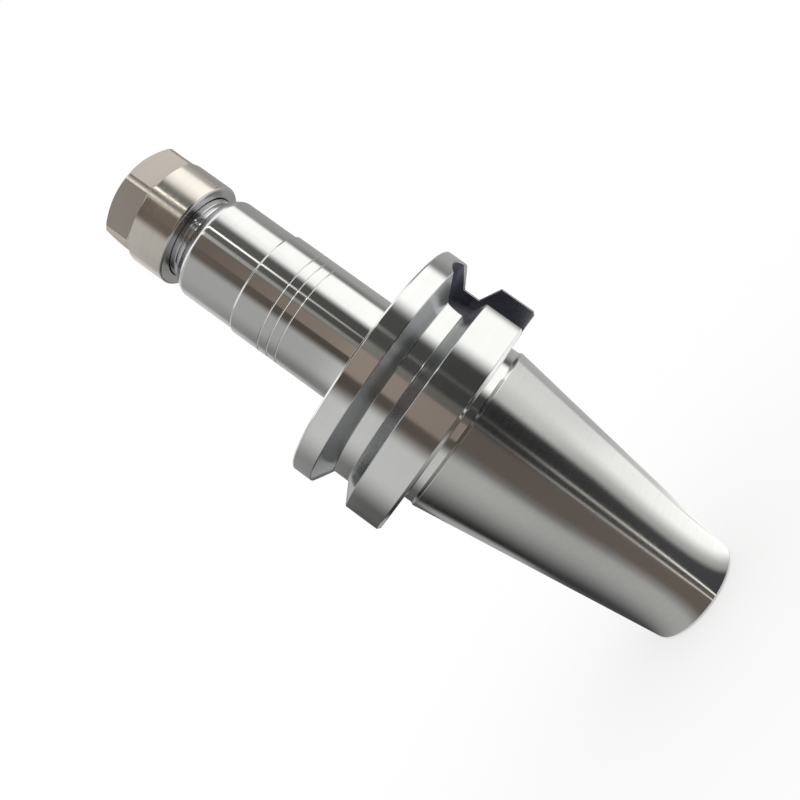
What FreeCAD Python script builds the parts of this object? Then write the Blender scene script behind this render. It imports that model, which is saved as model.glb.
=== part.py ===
import FreeCAD, Part
import math
import os

# Collet chuck holder with a steep-taper shank, a keyed flange, a slim body,
# a clamping nut and a slotted spring collet. Millimetres.
# Z runs along the spindle axis towards the tool, and Z = 0 is the gauge plane.

# Steep taper shank
GAUGE_DIAMETER = 44.45
TAPER_RATIO = 7 / 24
TAPER_LENGTH = 65.4
SMALL_END_CHAMFER = 0.8
NECK_RELIEF_DEPTH = 0.525
NECK_END = -0.2
NECK_BEVEL_LENGTH = 0.7

# Hole for the retention knob
KNOB_PILOT_DIAMETER = 17.0
KNOB_PILOT_DEPTH = 9.0
KNOB_THREAD_MINOR = 13.835
KNOB_THREAD_DEPTH = 30.0
KNOB_MOUTH_CHAMFER = 0.6
COOLANT_HOLE_DIAMETER = 8.0

# Flange with its gripper groove
FLANGE_DIAMETER = 63.0
FLANGE_OFFSET = 2.0
FLANGE_THICKNESS = 25.0
FLANGE_FRONT_CHAMFER = 0.45
FLANGE_REAR_CHAMFER = 0.7
GROOVE_FROM_REAR = 14.6
GROOVE_WIDTH = 10.0
GROOVE_DEPTH = 5.0
GROOVE_HALF_ANGLE = 30.0

# Two drive slots, open at the rear face and round at the front
SLOT_WIDTH = 16.1
SLOT_FLOOR_RISE = 0.375
SLOT_END_LAND = 3.75
SLOT_EDGE_CHAMFER = 0.35

# Slim body
BODY_DIAMETER = 28.0
BODY_ROOT_BEVEL = 0.8
STEP_HEIGHT = 58.4
STEP_LENGTH = 0.9
STEP_DEPTH = 0.45
SHOULDER_HEIGHT = 76.0
SHOULDER_BEVEL_LENGTH = 2.0
SHOULDER_BEVEL_DEPTH = 1.2
RING_GROOVE_HEIGHT = 50.8
RING_GROOVE_PITCH = 2.6
RING_GROOVE_COUNT = 3
RING_GROOVE_WIDTH = 0.6
RING_GROOVE_DEPTH = 0.2

# Threaded nose that holds the collet
NOSE_LENGTH = 14.0
NOSE_THREAD_DIAMETER = 22.0
NOSE_THREAD_PITCH = 1.5
NOSE_RELIEF_LENGTH = 1.9
NOSE_RELIEF_DEPTH = 0.8
NOSE_BAND_CLEARANCE = 0.6
NOSE_CHAMFER = 0.8
MOUTH_DIAMETER = 16.0
MOUTH_HALF_ANGLE = 8.0
SHANK_BORE_DIAMETER = 10.5
SHANK_BORE_DEPTH = 60.0

# Spring collet
COLLET_LENGTH = 27.5
COLLET_FRONT_REACH = 6.3
COLLET_HEAD_DIAMETER = 17.0
COLLET_HEAD_LENGTH = 4.0
COLLET_RIM_LENGTH = 0.3
COLLET_FRONT_HALF_ANGLE = 30.0
COLLET_GROOVE_WIDTH = 2.2
COLLET_GROOVE_DIAMETER = 13.8
COLLET_BORE_DIAMETER = 6.0
COLLET_GRIP_LENGTH = 20.0
COLLET_RELIEF_STEP = 0.6
COLLET_SLOT_COUNT = 8
COLLET_SLOT_WIDTH = 0.6
COLLET_UNCUT_REAR = 4.5
COLLET_UNCUT_FRONT = 6.4
COLLET_EDGE_CHAMFER = 0.3
COLLET_FIT = 0.04

# Clamping nut
NUT_LENGTH = 17.5
NUT_FLAT_WALL = 1.5
NUT_CORNER_HEIGHT = 1.5
NUT_FLAT_LENGTH = 7.8
NUT_FLAT_RUNOUT = 0.8
NUT_CORNER_AZIMUTH = 3.1
NUT_FRONT_LIP = 0.5
NUT_FRONT_BEVEL_DEPTH = 1.7
NUT_FRONT_BEVEL_ANGLE = 30.0
NUT_REAR_CHAMFER = 0.45
NUT_MOUTH_CLEARANCE = 0.25
NUT_MOUTH_DEPTH = 1.6
NUT_THREAD_CLEARANCE = 0.08
NUT_OPENING_CHAMFER = 0.4

# Eccentric ring in the nut, which draws the collet out
PULL_RING_OFFSET = 0.45
PULL_RING_CLEARANCE = 0.05
PULL_RING_HEAD_GAP = 0.2
PULL_RING_NOSE_GAP = 0.5

# Sizes that follow
SLOT_FLOOR_RADIUS = GAUGE_DIAMETER / 2 + SLOT_FLOOR_RISE
FLANGE_REAR = FLANGE_OFFSET
FLANGE_FRONT = FLANGE_OFFSET + FLANGE_THICKNESS
SLOT_END_CENTRE = FLANGE_FRONT - SLOT_END_LAND - SLOT_WIDTH / 2
THREAD_HEIGHT = NOSE_THREAD_PITCH * math.sqrt(3) / 2
NOSE_RADIUS = NOSE_THREAD_DIAMETER / 2
NOSE_MINOR_RADIUS = NOSE_RADIUS - THREAD_HEIGHT * 17 / 24
NOSE_FACE = SHOULDER_HEIGHT + NOSE_LENGTH
COLLET_FRONT = NOSE_FACE + COLLET_FRONT_REACH
COLLET_REAR = COLLET_FRONT - COLLET_LENGTH
COLLET_HEAD_REAR = COLLET_FRONT - COLLET_HEAD_LENGTH
NUT_MINOR_RADIUS = NOSE_MINOR_RADIUS + NUT_THREAD_CLEARANCE
NUT_FLAT_RADIUS = NOSE_RADIUS + NUT_FLAT_WALL
NUT_RADIUS = NUT_FLAT_RADIUS + NUT_CORNER_HEIGHT
NUT_FRONT = COLLET_FRONT + NUT_FRONT_LIP
NUT_REAR = NUT_FRONT - NUT_LENGTH
NUT_THREAD_REAR = NUT_REAR + NUT_MOUTH_DEPTH
MOUTH_SLOPE = math.tan(math.radians(MOUTH_HALF_ANGLE))
FRONT_SLOPE = math.tan(math.radians(COLLET_FRONT_HALF_ANGLE))
DRILL_SLOPE = math.tan(math.radians(31))


def outline_face(outline):
    """A face in the XZ plane from (radius, height) points.

    A point is reached by a straight run. An entry of four numbers is an arc,
    given by a point half-way along it and by its end.
    """
    edges = []
    here = outline[0]
    for entry in outline[1:] + outline[:1]:
        start = FreeCAD.Vector(here[0], 0, here[1])
        end = FreeCAD.Vector(entry[-2], 0, entry[-1])
        if len(entry) == 4:
            middle = FreeCAD.Vector(entry[0], 0, entry[1])
            edges.append(Part.Arc(start, middle, end).toShape())
        else:
            edges.append(Part.LineSegment(start, end).toShape())
        here = entry[-2:]
    return Part.Face(Part.Wire(edges))


def turned(outline):
    """One solid turned about Z."""
    return outline_face(outline).revolve(FreeCAD.Vector(), FreeCAD.Vector(0, 0, 1), 360)


def quarter_round(centre, radius, start, end):
    """An outline entry for an arc about a (radius, height) centre, angles in degrees."""
    middle = math.radians((start + end) / 2)
    last = math.radians(end)
    return (
        centre[0] + radius * math.cos(middle),
        centre[1] + radius * math.sin(middle),
        centre[0] + radius * math.cos(last),
        centre[1] + radius * math.sin(last),
    )


def about_z(shape, degrees):
    shape.rotate(FreeCAD.Vector(), FreeCAD.Vector(0, 0, 1), degrees)
    return shape


def taper_radius(height):
    return (GAUGE_DIAMETER + height * TAPER_RATIO) / 2


def mouth_radius(height):
    return MOUTH_DIAMETER / 2 - (NOSE_FACE - height) * MOUTH_SLOPE


def shank_outline():
    small_end = -TAPER_LENGTH
    taper_top = NECK_END - NECK_BEVEL_LENGTH
    neck = GAUGE_DIAMETER / 2 - NECK_RELIEF_DEPTH
    return [
        (taper_radius(small_end) - SMALL_END_CHAMFER, small_end),
        (taper_radius(small_end + SMALL_END_CHAMFER), small_end + SMALL_END_CHAMFER),
        (taper_radius(taper_top), taper_top),
        (neck, NECK_END),
        (neck, FLANGE_REAR),
    ]


def flange_outline():
    rim = FLANGE_DIAMETER / 2
    middle = FLANGE_REAR + GROOVE_FROM_REAR
    half_top = GROOVE_WIDTH / 2
    half_floor = half_top - GROOVE_DEPTH * math.tan(math.radians(GROOVE_HALF_ANGLE))
    return [
        (rim - FLANGE_REAR_CHAMFER, FLANGE_REAR),
        (rim, FLANGE_REAR + FLANGE_REAR_CHAMFER),
        (rim, middle - half_top),
        (rim - GROOVE_DEPTH, middle - half_floor),
        (rim - GROOVE_DEPTH, middle + half_floor),
        (rim, middle + half_top),
        (rim, FLANGE_FRONT - FLANGE_FRONT_CHAMFER),
        (rim - FLANGE_FRONT_CHAMFER, FLANGE_FRONT),
    ]


def body_outline():
    body = BODY_DIAMETER / 2
    front = body - STEP_DEPTH
    outline = [
        (body + BODY_ROOT_BEVEL, FLANGE_FRONT),
        (body, FLANGE_FRONT + BODY_ROOT_BEVEL),
    ]
    for i in reversed(range(RING_GROOVE_COUNT)):
        groove = RING_GROOVE_HEIGHT - i * RING_GROOVE_PITCH
        outline += [
            (body, groove - RING_GROOVE_WIDTH / 2),
            (body - RING_GROOVE_DEPTH, groove),
            (body, groove + RING_GROOVE_WIDTH / 2),
        ]
    outline += [
        (body, STEP_HEIGHT),
        (front, STEP_HEIGHT + STEP_LENGTH),
        (front, SHOULDER_HEIGHT - SHOULDER_BEVEL_LENGTH),
        (front - SHOULDER_BEVEL_DEPTH, SHOULDER_HEIGHT),
    ]
    return outline


def nose_outline():
    relief = NOSE_RADIUS - NOSE_RELIEF_DEPTH
    band = SHOULDER_HEIGHT + NOSE_RELIEF_LENGTH
    return [
        (NOSE_RADIUS, SHOULDER_HEIGHT),
        (relief, SHOULDER_HEIGHT + NOSE_RELIEF_DEPTH),
        (relief, band - NOSE_RELIEF_DEPTH / 2),
        (NOSE_RADIUS, band),
        (NOSE_RADIUS, NUT_THREAD_REAR - NOSE_BAND_CLEARANCE),
        (NOSE_MINOR_RADIUS, NUT_THREAD_REAR - NOSE_BAND_CLEARANCE),
        (NOSE_MINOR_RADIUS, NOSE_FACE - NOSE_CHAMFER),
        (NOSE_MINOR_RADIUS - NOSE_CHAMFER, NOSE_FACE),
    ]


def inner_outline():
    """The stepped hole from the nose face down to the small end."""
    small_end = -TAPER_LENGTH
    shank = SHANK_BORE_DIAMETER / 2
    coolant = COOLANT_HOLE_DIAMETER / 2
    thread = KNOB_THREAD_MINOR / 2
    pilot = KNOB_PILOT_DIAMETER / 2
    pilot_top = small_end + KNOB_PILOT_DEPTH
    thread_top = small_end + KNOB_THREAD_DEPTH
    bore_end = NOSE_FACE - SHANK_BORE_DEPTH
    mouth_end = NOSE_FACE - (MOUTH_DIAMETER - SHANK_BORE_DIAMETER) / 2 / MOUTH_SLOPE
    return [
        (MOUTH_DIAMETER / 2, NOSE_FACE),
        (shank, mouth_end),
        (shank, bore_end),
        (coolant, bore_end - (shank - coolant) * DRILL_SLOPE),
        (coolant, thread_top + (thread - coolant) * DRILL_SLOPE),
        (thread, thread_top),
        (thread, pilot_top + (pilot - thread) * DRILL_SLOPE),
        (pilot, pilot_top),
        (pilot, small_end + KNOB_MOUTH_CHAMFER),
        (pilot + KNOB_MOUTH_CHAMFER, small_end),
    ]


def drive_slot():
    """Cutter for the drive slot on the +X side."""
    half = SLOT_WIDTH / 2
    reach = FLANGE_DIAMETER / 2
    below = FLANGE_REAR - SLOT_WIDTH
    corner = FreeCAD.Vector(SLOT_FLOOR_RADIUS, -half, below)
    straight = Part.makeBox(reach, SLOT_WIDTH, SLOT_END_CENTRE - below, corner)
    centre = FreeCAD.Vector(SLOT_FLOOR_RADIUS, 0, SLOT_END_CENTRE)
    round_end = Part.makeCylinder(half, reach, centre, FreeCAD.Vector(1, 0, 0))
    return straight.fuse(round_end).removeSplitter()


def on_slot_rim(edge):
    """True for an edge where a slot wall meets the outside of the flange."""
    half = SLOT_WIDTH / 2
    tiny = 0.001
    first, last = edge.ParameterRange
    points = [edge.valueAt(first + (last - first) * i / 4) for i in range(5)]
    for point in points:
        across = math.hypot(point.y, max(0, point.z - SLOT_END_CENTRE))
        if abs(across - half) > tiny or abs(point.x) < SLOT_FLOOR_RADIUS + tiny:
            return False
    along_x = points[0].distanceToPoint(points[4]) - abs(points[0].x - points[4].x) < tiny
    at_rear = max(point.z for point in points) < FLANGE_REAR + tiny
    return at_rear or not along_x


def make_holder():
    outline = shank_outline() + flange_outline() + body_outline() + nose_outline() + inner_outline()
    holder = turned(outline)
    for turn in (0, 180):
        holder = holder.cut(about_z(drive_slot(), turn))
    return holder.makeChamfer(SLOT_EDGE_CHAMFER, [e for e in holder.Edges if on_slot_rim(e)])


def make_nut():
    front_face = NUT_RADIUS - NUT_FRONT_BEVEL_DEPTH
    bevel = NUT_FRONT_BEVEL_DEPTH * math.tan(math.radians(NUT_FRONT_BEVEL_ANGLE))
    head = COLLET_HEAD_DIAMETER / 2 + COLLET_FIT
    cone_start = COLLET_HEAD_REAR + COLLET_RIM_LENGTH
    opening = head - (NUT_FRONT - cone_start) * FRONT_SLOPE
    ring_top = COLLET_HEAD_REAR - PULL_RING_HEAD_GAP
    ring_rear = NOSE_FACE + PULL_RING_NOSE_GAP
    ring_bore = COLLET_GROOVE_DIAMETER / 2 + PULL_RING_CLEARANCE + PULL_RING_OFFSET
    ring_blank = ring_bore - 2 * PULL_RING_OFFSET
    mouth = NOSE_RADIUS + NUT_MOUTH_CLEARANCE
    nut = turned([
        (mouth, NUT_REAR),
        (NUT_RADIUS - NUT_REAR_CHAMFER, NUT_REAR),
        (NUT_RADIUS, NUT_REAR + NUT_REAR_CHAMFER),
        (NUT_RADIUS, NUT_FRONT - bevel),
        (front_face, NUT_FRONT),
        (opening + NUT_OPENING_CHAMFER, NUT_FRONT),
        (opening + NUT_OPENING_CHAMFER * FRONT_SLOPE, NUT_FRONT - NUT_OPENING_CHAMFER),
        (head, cone_start),
        (head, ring_top),
        (ring_blank, ring_top),
        (ring_blank, ring_rear),
        (NUT_MINOR_RADIUS, ring_rear),
        (NUT_MINOR_RADIUS, NUT_THREAD_REAR),
        (mouth, NUT_THREAD_REAR),
    ])
    ring_axis = FreeCAD.Vector(PULL_RING_OFFSET, 0, ring_rear)
    nut = nut.cut(Part.makeCylinder(ring_bore, ring_top - ring_rear, ring_axis))
    for i in range(6):
        nut = nut.cut(about_z(flat_cutter(), NUT_CORNER_AZIMUTH + 30 + 60 * i))
    return nut


def flat_cutter():
    """Cutter for one wrench flat, which runs out in a small round at the collar."""
    flat = NUT_FLAT_RADIUS
    end = NUT_FRONT - NUT_FLAT_LENGTH
    outside = 2 * NUT_RADIUS
    above = NUT_FRONT + NUT_FLAT_LENGTH
    runout_centre = (flat + NUT_FLAT_RUNOUT, end + NUT_FLAT_RUNOUT)
    face = outline_face([
        (outside, above),
        (flat, above),
        (flat, end + NUT_FLAT_RUNOUT),
        quarter_round(runout_centre, NUT_FLAT_RUNOUT, 180, 270),
        (outside, end),
    ])
    face.translate(FreeCAD.Vector(0, -outside / 2, 0))
    return face.extrude(FreeCAD.Vector(0, outside, 0))


def make_collet():
    head = COLLET_HEAD_DIAMETER / 2
    groove_rear = COLLET_HEAD_REAR - COLLET_GROOVE_WIDTH
    groove = COLLET_GROOVE_DIAMETER / 2
    bore = COLLET_BORE_DIAMETER / 2
    relief = bore + COLLET_RELIEF_STEP
    relief_top = COLLET_FRONT - COLLET_GRIP_LENGTH
    front = head - (COLLET_HEAD_LENGTH - COLLET_RIM_LENGTH) * FRONT_SLOPE
    rear = mouth_radius(COLLET_REAR) - COLLET_FIT
    edge = COLLET_EDGE_CHAMFER
    collet = turned([
        (relief, COLLET_REAR),
        (rear - edge, COLLET_REAR),
        (rear + edge * MOUTH_SLOPE, COLLET_REAR + edge),
        (mouth_radius(groove_rear) - COLLET_FIT, groove_rear),
        (groove, groove_rear),
        (groove, COLLET_HEAD_REAR),
        (head, COLLET_HEAD_REAR),
        (head, COLLET_HEAD_REAR + COLLET_RIM_LENGTH),
        (front, COLLET_FRONT),
        (bore + edge, COLLET_FRONT),
        (bore, COLLET_FRONT - edge),
        (bore, relief_top),
        (relief, relief_top - COLLET_RELIEF_STEP),
    ])
    reach = COLLET_HEAD_DIAMETER
    front_cut = COLLET_LENGTH - COLLET_UNCUT_REAR
    rear_cut = COLLET_LENGTH - COLLET_UNCUT_FRONT
    step = 360 / COLLET_SLOT_COUNT
    for i in range(COLLET_SLOT_COUNT):
        low = FreeCAD.Vector(0, -COLLET_SLOT_WIDTH / 2, COLLET_REAR + COLLET_UNCUT_REAR)
        saw = Part.makeBox(reach, COLLET_SLOT_WIDTH, front_cut + 1, low)
        collet = collet.cut(about_z(saw, i * step))
        low = FreeCAD.Vector(0, -COLLET_SLOT_WIDTH / 2, COLLET_REAR - 1)
        saw = Part.makeBox(reach, COLLET_SLOT_WIDTH, rear_cut + 1, low)
        collet = collet.cut(about_z(saw, (i + 0.5) * step))
    return collet


os.makedirs("parts", exist_ok=True)
PIECES = {
    "holder_body": make_holder(),
    "clamping_nut": make_nut(),
    "spring_collet": make_collet(),
}
for name, shape in PIECES.items():
    shape.exportStep("parts/" + name + ".step")
    print(name, shape.isValid(), len(shape.Solids), round(shape.Volume, 1), shape.BoundBox)
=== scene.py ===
# %% [markdown]
# # A collet chuck holder
#
# This holder grips round tool shanks in a milling machine. A steep taper seats in the
# spindle, two slots in the flange take the drive keys, a changer arm grips the groove, and
# a hexagon nut squeezes a slotted collet in the nose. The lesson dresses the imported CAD
# model: every piece is turned, milled and threaded again as a fine mesh, and then gets
# the finish that the workshop gives it.

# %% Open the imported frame
import math

import bmesh
import bpy
from mathutils import Matrix, Vector


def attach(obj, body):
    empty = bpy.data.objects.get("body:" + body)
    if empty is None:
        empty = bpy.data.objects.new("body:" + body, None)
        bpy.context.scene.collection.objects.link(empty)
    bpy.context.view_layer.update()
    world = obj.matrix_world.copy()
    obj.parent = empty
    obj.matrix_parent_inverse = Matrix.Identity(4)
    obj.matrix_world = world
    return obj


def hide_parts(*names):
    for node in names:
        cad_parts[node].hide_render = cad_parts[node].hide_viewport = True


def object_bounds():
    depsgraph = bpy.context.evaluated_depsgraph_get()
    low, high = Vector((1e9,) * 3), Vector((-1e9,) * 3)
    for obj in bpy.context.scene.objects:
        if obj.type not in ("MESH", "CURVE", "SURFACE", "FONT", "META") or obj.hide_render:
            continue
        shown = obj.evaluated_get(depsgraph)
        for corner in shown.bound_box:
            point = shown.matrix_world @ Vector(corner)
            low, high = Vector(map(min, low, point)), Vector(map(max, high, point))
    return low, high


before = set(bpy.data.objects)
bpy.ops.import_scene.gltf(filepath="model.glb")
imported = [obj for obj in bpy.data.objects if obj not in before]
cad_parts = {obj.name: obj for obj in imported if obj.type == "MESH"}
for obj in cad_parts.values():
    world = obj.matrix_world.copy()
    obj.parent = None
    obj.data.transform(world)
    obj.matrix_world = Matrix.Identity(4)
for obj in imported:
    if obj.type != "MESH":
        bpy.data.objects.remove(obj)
CAD_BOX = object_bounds()
MM = 0.001
print("CAD box in mm", [round(v / MM, 2) for corner in CAD_BOX for v in corner])

# %% [markdown]
# ## The camera
#
# The photograph was taken from the side, a little under 180 mm from the spindle axis, with
# the camera rolled so that the nut points up to the left. The camera could be placed by
# eye, but a place worked out from the taper, the flange and the nut keeps every edge where
# the photograph has it. The camera's distance and height are given from the spindle axis,
# and its aim as a heading, a rise and a roll.

# %% Place the camera
CAMERA_AZIMUTH = 25.6
CAMERA_DISTANCE = 178.986 * MM
CAMERA_HEIGHT = 3.776 * MM
CAMERA_HEADING = 116.786
CAMERA_RISE = 3.950
CAMERA_ROLL = 54.176
CAMERA_LENS = 33.692
CAMERA_CLIP = (0.01, 20)


def add_camera():
    azimuth = math.radians(CAMERA_AZIMUTH)
    heading = math.radians(CAMERA_HEADING)
    rise = math.radians(CAMERA_RISE)
    aim = Vector((
        math.cos(heading) * math.cos(rise),
        math.sin(heading) * math.cos(rise),
        math.sin(rise),
    ))
    level = aim.to_track_quat("-Z", "Y").to_matrix()
    roll = Matrix.Rotation(-math.radians(CAMERA_ROLL), 3, "Z")
    data = bpy.data.cameras.new("portrait_camera")
    data.lens = CAMERA_LENS
    data.clip_start, data.clip_end = CAMERA_CLIP
    camera = bpy.data.objects.new("portrait_camera", data)
    camera.matrix_world = (level @ roll).to_4x4()
    camera.location = (
        CAMERA_DISTANCE * math.sin(azimuth),
        -CAMERA_DISTANCE * math.cos(azimuth),
        CAMERA_HEIGHT,
    )
    bpy.context.scene.collection.objects.link(camera)
    bpy.context.scene.camera = camera
    return camera


camera = add_camera()
bpy.context.scene.view_settings.view_transform = "Standard"
print("camera stands at", [round(v / MM, 1) for v in camera.location])

# %% [markdown]
# ## Wiring nodes
#
# A shader is a chain of small sums. Typing each node in full hides what the chain does, so
# a few helpers do the wiring: one links a socket or writes a number on it, and others make
# a plain node, a Math node and a smooth step. The last two empty a tree and finish it.

# %% Helpers for shader nodes
def wire(tree, value, socket):
    """Link a socket to a socket, or write a number or colour on it."""
    if isinstance(value, bpy.types.NodeSocket):
        tree.links.new(value, socket)
    else:
        socket.default_value = value


def node(tree, kind, **values):
    """A new node with its settings, and its inputs given by their plain names."""
    made = tree.nodes.new(kind)
    for name, value in values.items():
        if hasattr(made, name):
            setattr(made, name, value)
        else:
            wire(tree, value, made.inputs[name.replace("_", " ")])
    return made


def calc(tree, operation, *values):
    """A Math node, by its operation and its one to three values."""
    made = tree.nodes.new("ShaderNodeMath")
    made.operation = operation
    for value, socket in zip(values, made.inputs):
        wire(tree, value, socket)
    return made.outputs[0]


def ranged(tree, value, low, high, start=0.0, end=1.0):
    """Stretch the part of a value between low and high over start to end, smoothly."""
    made = node(tree, "ShaderNodeMapRange", interpolation_type="SMOOTHSTEP", Value=value)
    made.inputs["From Min"].default_value = low
    made.inputs["From Max"].default_value = high
    made.inputs["To Min"].default_value = start
    made.inputs["To Max"].default_value = end
    return made.outputs["Result"]


def empty_tree(owner):
    """The node tree of a world or a material, with nothing in it."""
    owner.use_nodes = True
    owner.node_tree.nodes.clear()
    return owner.node_tree


def show(tree, shader, output="ShaderNodeOutputMaterial"):
    """Lead a shader to the output of its tree."""
    tree.links.new(shader.outputs[0], tree.nodes.new(output).inputs["Surface"])


# %% [markdown]
# ## The world and the floor
#
# Pale ground steel has little colour of its own and shows what stands round it. The world
# is an even white at strength 1, which the camera, the metal and the floor all see, so a
# colour renders about as it is written. The floor is a plain pale sheet under the small
# end of the taper, and it keeps the soft shadow of the holder. Part of its paleness is its
# own, so that the shadow stays faint.

# %% Make the world and the floor
FLOOR_HEIGHT = CAD_BOX[0].z
FLOOR_SIZE = 6.0
FLOOR_GLOW = 0.55
WHITE = (1, 1, 1, 1)


def white_world():
    world = bpy.data.worlds.new("white_studio")
    bpy.context.scene.world = world
    tree = empty_tree(world)
    back = node(tree, "ShaderNodeBackground", Color=WHITE, Strength=1.0)
    show(tree, back, "ShaderNodeOutputWorld")


def pale_floor():
    bpy.ops.mesh.primitive_plane_add(size=FLOOR_SIZE, location=(0, 0, FLOOR_HEIGHT))
    floor = bpy.context.object
    floor.name = "studio_floor"
    bpy.ops.object.transform_apply(location=True)
    paint = bpy.data.materials.new("floor_paper")
    tree = empty_tree(paint)
    dull = node(tree, "ShaderNodeBsdfDiffuse", Color=WHITE)
    glow = node(tree, "ShaderNodeEmission", Color=WHITE, Strength=1.0)
    mix = tree.nodes.new("ShaderNodeMixShader")
    for value, socket in zip((FLOOR_GLOW, dull.outputs[0], glow.outputs[0]), mix.inputs):
        wire(tree, value, socket)
    show(tree, mix)
    floor.data.materials.append(paint)


white_world()
pale_floor()
print("floor at", round(FLOOR_HEIGHT / MM, 2), "mm")

# %% [markdown]
# ## Turning on a lathe
#
# Nearly every face of this holder is turned, so its pieces are made as a lathe makes them.
# An outline is drawn point by point with extrude, a corner that has a third number is
# rounded with a vertex bevel, and spin sweeps the outline once round the axis. A screw
# modifier would turn it too, but spin leaves a plain mesh that the next cuts can work on.
# The last points meet the first ones, so they are merged, and the normals are worked out
# again so that the faces point outwards.

# %% The lathe
ROUND_STEPS = 288
CORNER_STEPS = 4
MERGE_DISTANCE = 0.0005 * MM
SMOOTH_ANGLE = math.radians(28)


def leave_edit():
    """Back to object mode with nothing selected."""
    if bpy.context.object and bpy.context.object.mode != "OBJECT":
        bpy.ops.object.mode_set(mode="OBJECT")
    bpy.ops.object.select_all(action="DESELECT")


def work_on(piece):
    """Select one piece alone and make it the active one."""
    leave_edit()
    piece.select_set(True)
    bpy.context.view_layer.objects.active = piece


def pick_points(piece, wanted):
    """In edit mode, select the points whose place passes a test, and nothing else."""
    bpy.ops.mesh.select_mode(type="VERT")
    bpy.ops.mesh.select_all(action="DESELECT")
    shape = bmesh.from_edit_mesh(piece.data)
    for point in shape.verts:
        point.select_set(wanted(point.co))
    shape.select_flush_mode()
    bmesh.update_edit_mesh(piece.data)


def draw_outline(name, points, closed=True):
    """A chain of edges in the XZ plane from (radius, height) points in millimetres.

    A third number is the rounding of that corner.
    """
    leave_edit()
    bpy.ops.mesh.primitive_plane_add(size=MM)
    piece = bpy.context.object
    piece.name = name
    piece.data.name = name
    bpy.ops.object.mode_set(mode="EDIT")
    bpy.ops.mesh.merge(type="CENTER")
    here = (0, 0)
    for i, point in enumerate(points):
        step = ((point[0] - here[0]) * MM, 0, (point[1] - here[1]) * MM)
        if i == 0:
            bpy.ops.transform.translate(value=step)
        else:
            bpy.ops.mesh.extrude_region_move(TRANSFORM_OT_translate={"value": step})
        here = point
    places = [Vector((point[0] * MM, 0, point[1] * MM)) for point in points]
    if closed:
        ends = (places[0], places[-1])
        pick_points(piece, lambda co: min((co - end).length for end in ends) < MERGE_DISTANCE)
        bpy.ops.mesh.edge_face_add()
    for point, place in zip(points, places):
        if len(point) > 2:
            pick_points(piece, lambda co: (co - place).length < MERGE_DISTANCE)
            bpy.ops.mesh.bevel(offset=point[2] * MM, segments=CORNER_STEPS, affect="VERTICES")
    return piece


def close_up():
    """In edit mode, merge what meets and point the faces outwards."""
    bpy.ops.mesh.select_all(action="SELECT")
    bpy.ops.mesh.remove_doubles(threshold=MERGE_DISTANCE)
    bpy.ops.mesh.normals_make_consistent(inside=False)


def smooth_off(piece):
    """Smooth shading that keeps the real corners sharp."""
    work_on(piece)
    bpy.ops.object.shade_smooth_by_angle(angle=SMOOTH_ANGLE)


def turned_piece(name, points, steps=ROUND_STEPS, closed=True):
    """A piece turned about Z from an outline."""
    piece = draw_outline(name, points, closed)
    bpy.ops.mesh.select_all(action="SELECT")
    bpy.ops.mesh.spin(steps=steps, angle=math.tau, center=(0, 0, 0), axis=(0, 0, 1))
    close_up()
    leave_edit()
    print(name, "turned:", len(piece.data.polygons), "faces")
    return piece


# %% [markdown]
# ## The light tent
#
# Polished steel is photographed in a tent of cards: white paper gives the broad highlight,
# black cloth gives the steel its depth, a brown card and two narrow lamps give the thin
# lines. A plain white room would leave the steel flat and milky. The tent is a turned
# drum round the holder whose foot is a shallow dish on the table. Only shiny surfaces see
# it. Every card is one line below: where it starts and ends as a heading in degrees from
# the camera's own bearing, how soft the two edges are, how far it leans, and how bright it
# is. A card on the wall fades with height and one on the table with its distance, so each
# has a level for every height or distance that stands in the row of stops.

# %% Describe the cards
TENT_RADIUS = 500
TENT_HEIGHT = 900
TENT_FOOT = 13
TENT_LIFT = 0.3
TENT_STEPS = 96
TABLE_RISE = 6
ROOF_RADIUS = 350
ROOF_RISE = 20
ROOF_TIP = 1
CAMERA_BEARING = CAMERA_AZIMUTH - 90
PLAIN = (1.0, 1.0, 1.0)
BROWN = (1.23, 1.0, 0.87)
CREAM = (1.04, 1.0, 0.93)
CLOTH = (1.03, 1.0, 1.12)

WALL_STOPS = (16, 87, 140, 275, 315)
WALL_LEAN = (30, 330)
WALL_CARDS = [
    # start, end, start edge, end edge, lean, tint, levels
    (-190, 190, 1, 1, 0, PLAIN, (0.135, 0.31, 0.25, 0.40, 0.60)),
    (-171, -138, 16, 20, 3, PLAIN, (0.10, 0.30, 0.55, 0.70, 0.80)),
    (116, 168, 22, 20, 3, PLAIN, (0.50, 0.46, 0.46, 0.39, 0.38)),
    (-75, 66, 1, 1, 0, PLAIN, (0.058, 0.085, 0.095, 0.14, 0.23)),
    (-75, -12, 1, 3, 0, BROWN, (0.10, 0.085, 0.085, 0.125, 0.135)),
    (-97, -35.8, 44, 17, -6, PLAIN, (0.70, 0.75, 0.49, 0.48, 0.63)),
    (-19.5, 4, 4, 3, 0, BROWN, (0.258, 0.32, 0.245, 0.155, 0.145)),
    (48.7, 99.5, 17, 14, 2.8, PLAIN, (1.45, 1.45, 1.38, 1.15, 0.95)),
    (61, 97, 24, 14, 4, PLAIN, (1.45, 1.45, 1.45, 1.45, 1.40)),
]

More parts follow.
